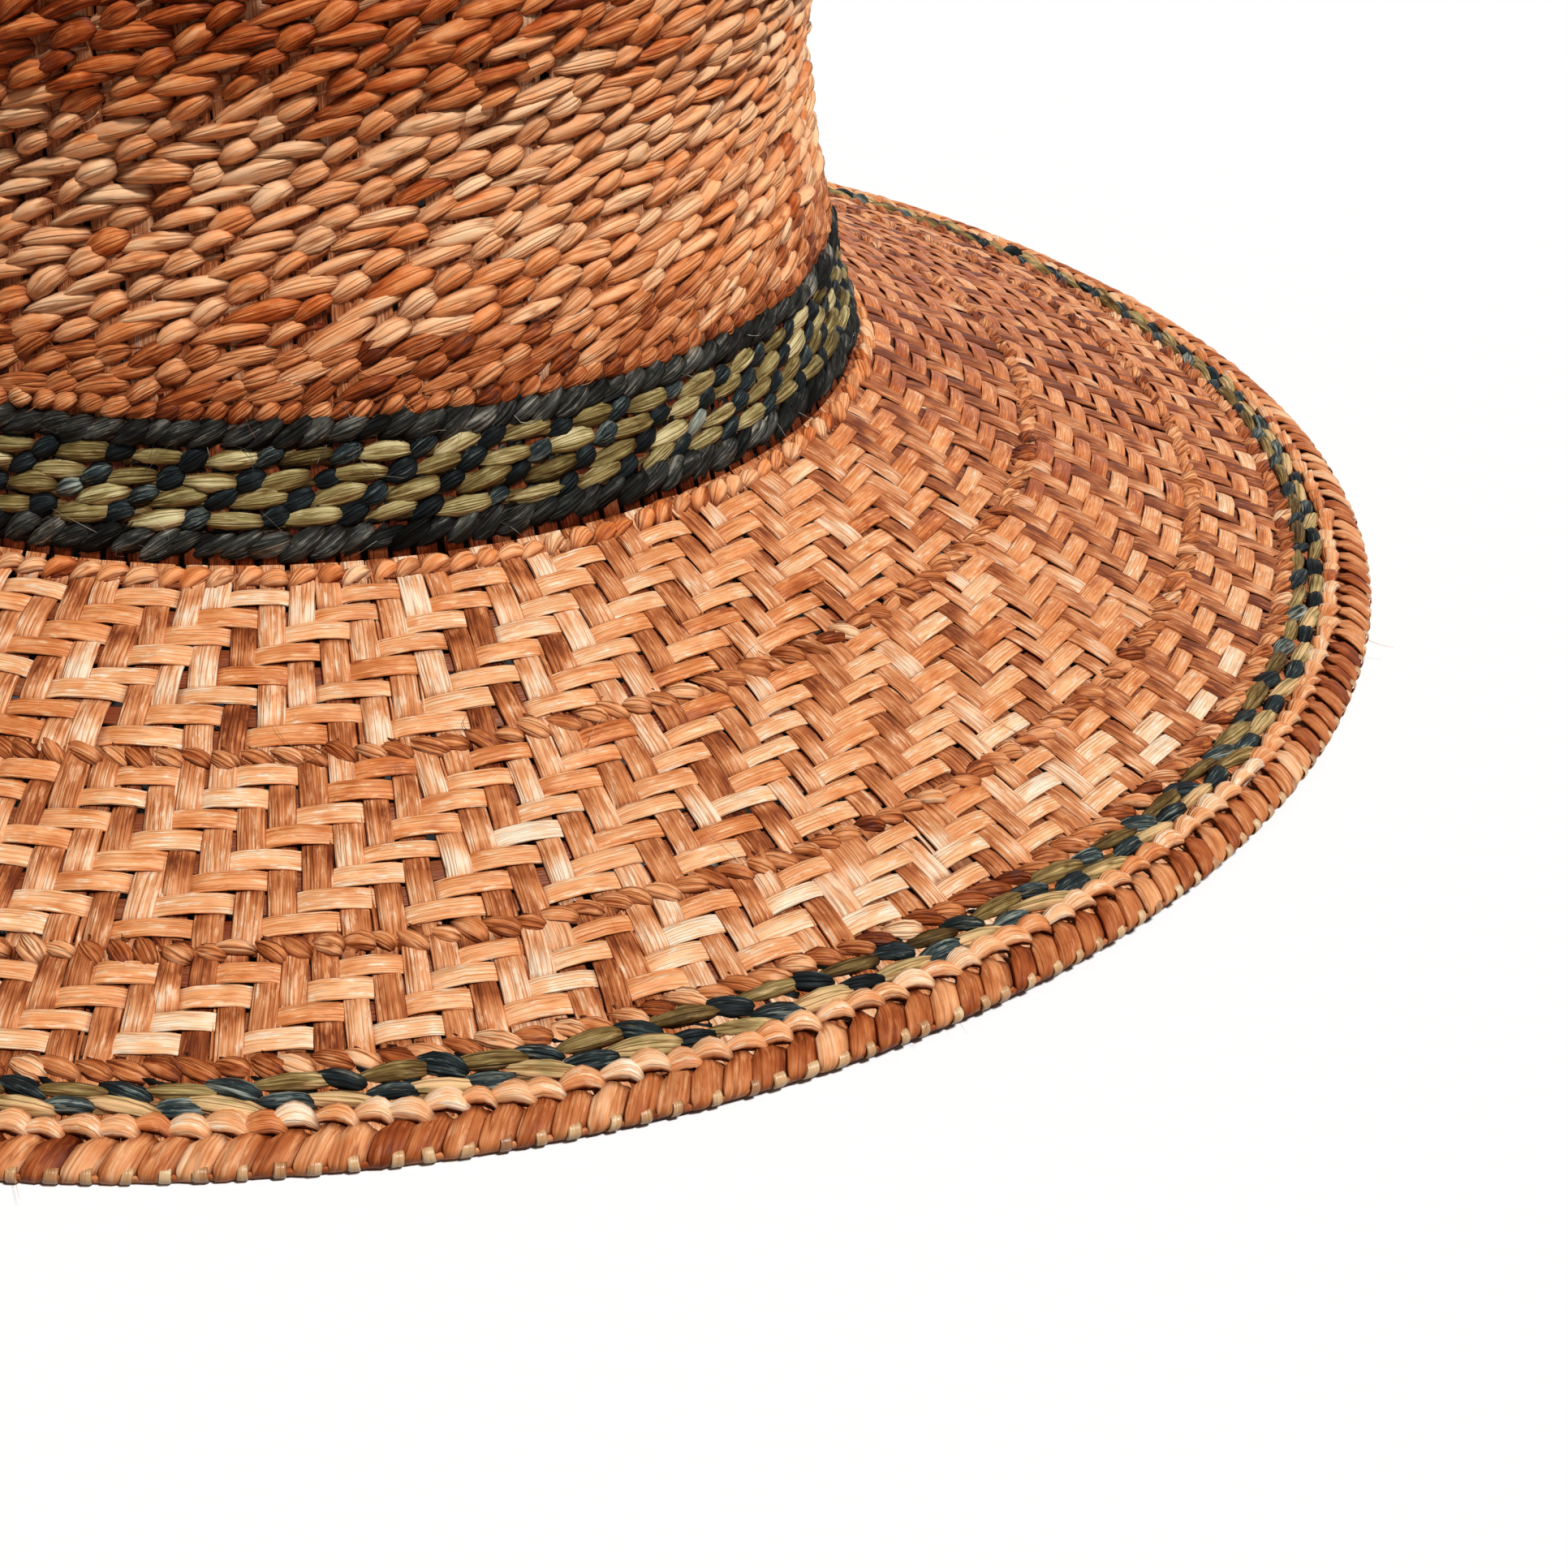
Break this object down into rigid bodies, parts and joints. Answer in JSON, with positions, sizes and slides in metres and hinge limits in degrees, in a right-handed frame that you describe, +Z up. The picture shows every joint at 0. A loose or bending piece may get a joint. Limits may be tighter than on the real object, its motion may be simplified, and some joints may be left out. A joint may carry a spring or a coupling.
{
  "type": "woven brimmed hat",
  "caption": "Woven bark hat with a tapering twined crown, a dyed check band, a sloping plaited brim, a twined check border and a folded rim.",
  "frame": {"origin": "centre of the rim, on the plane that the hat stands on", "axes": "+Z up along the axis of the crown"},
  "size_m": [0.376, 0.376, 0.1338],
  "materials": {
    "bark_warp": "matte fibrous",
    "bark_weft": "satin fibrous",
    "bark_red": "satin fibrous",
    "dyed_dark": "matte fibrous",
    "dyed_olive": "satin fibrous",
    "thread": "satin"
  },
  "bodies": {
    "root": {"crown_top_warps": "bark_warp", "crown_shoulder_warps": "bark_warp", "crown_wall_warps": "bark_warp", "band_warps": "bark_warp", "brim_warps_inner": "bark_warp", "brim_warps_middle": "bark_warp", "brim_warps_outer": "bark_warp", "crown_weft_1": "bark_weft", "crown_weft_2": "bark_weft", "crown_weft_3": "bark_weft", "crown_weft_4": "bark_weft", "crown_weft_5": "bark_weft", "crown_weft_6": "bark_weft", "crown_weft_7": "bark_weft", "crown_weft_8": "bark_weft", "crown_close_weft": "bark_weft", "brim_weft_01": "bark_weft", "brim_weft_02": "bark_weft", "brim_weft_03": "bark_weft", "brim_weft_04": "bark_weft", "brim_weft_05": "bark_weft", "brim_weft_06": "bark_weft", "brim_weft_07": "bark_weft", "brim_weft_08": "bark_weft", "brim_weft_09": "bark_weft", "brim_weft_10": "bark_weft", "brim_weft_11": "bark_weft", "brim_weft_12": "bark_weft", "brim_weft_13": "bark_weft", "brim_weft_14": "bark_weft", "brim_weft_15": "bark_weft", "brim_weft_16": "bark_weft", "brim_weft_17": "bark_weft", "brim_weft_18": "bark_weft", "brim_weft_19": "bark_weft", "brim_weft_20": "bark_weft", "brim_join_twining": "bark_weft", "edge_binding": "bark_weft", "crown_start": "bark_red", "brim_inner_twined_row": "bark_red", "brim_outer_twined_row": "bark_red", "border_inner_twining": "bark_red", "border_outer_twining": "bark_red", "band_upper_rope": "dyed_dark", "band_lower_rope": "dyed_dark", "band_check_row_1": "dyed_olive", "band_check_row_2": "dyed_olive", "band_check_row_3": "dyed_olive", "band_check_row_4": "dyed_olive", "border_check_row_inner": "dyed_olive", "border_check_row_outer": "dyed_olive", "edge_sewing_thread": "thread"}
  },
  "joints": []
}
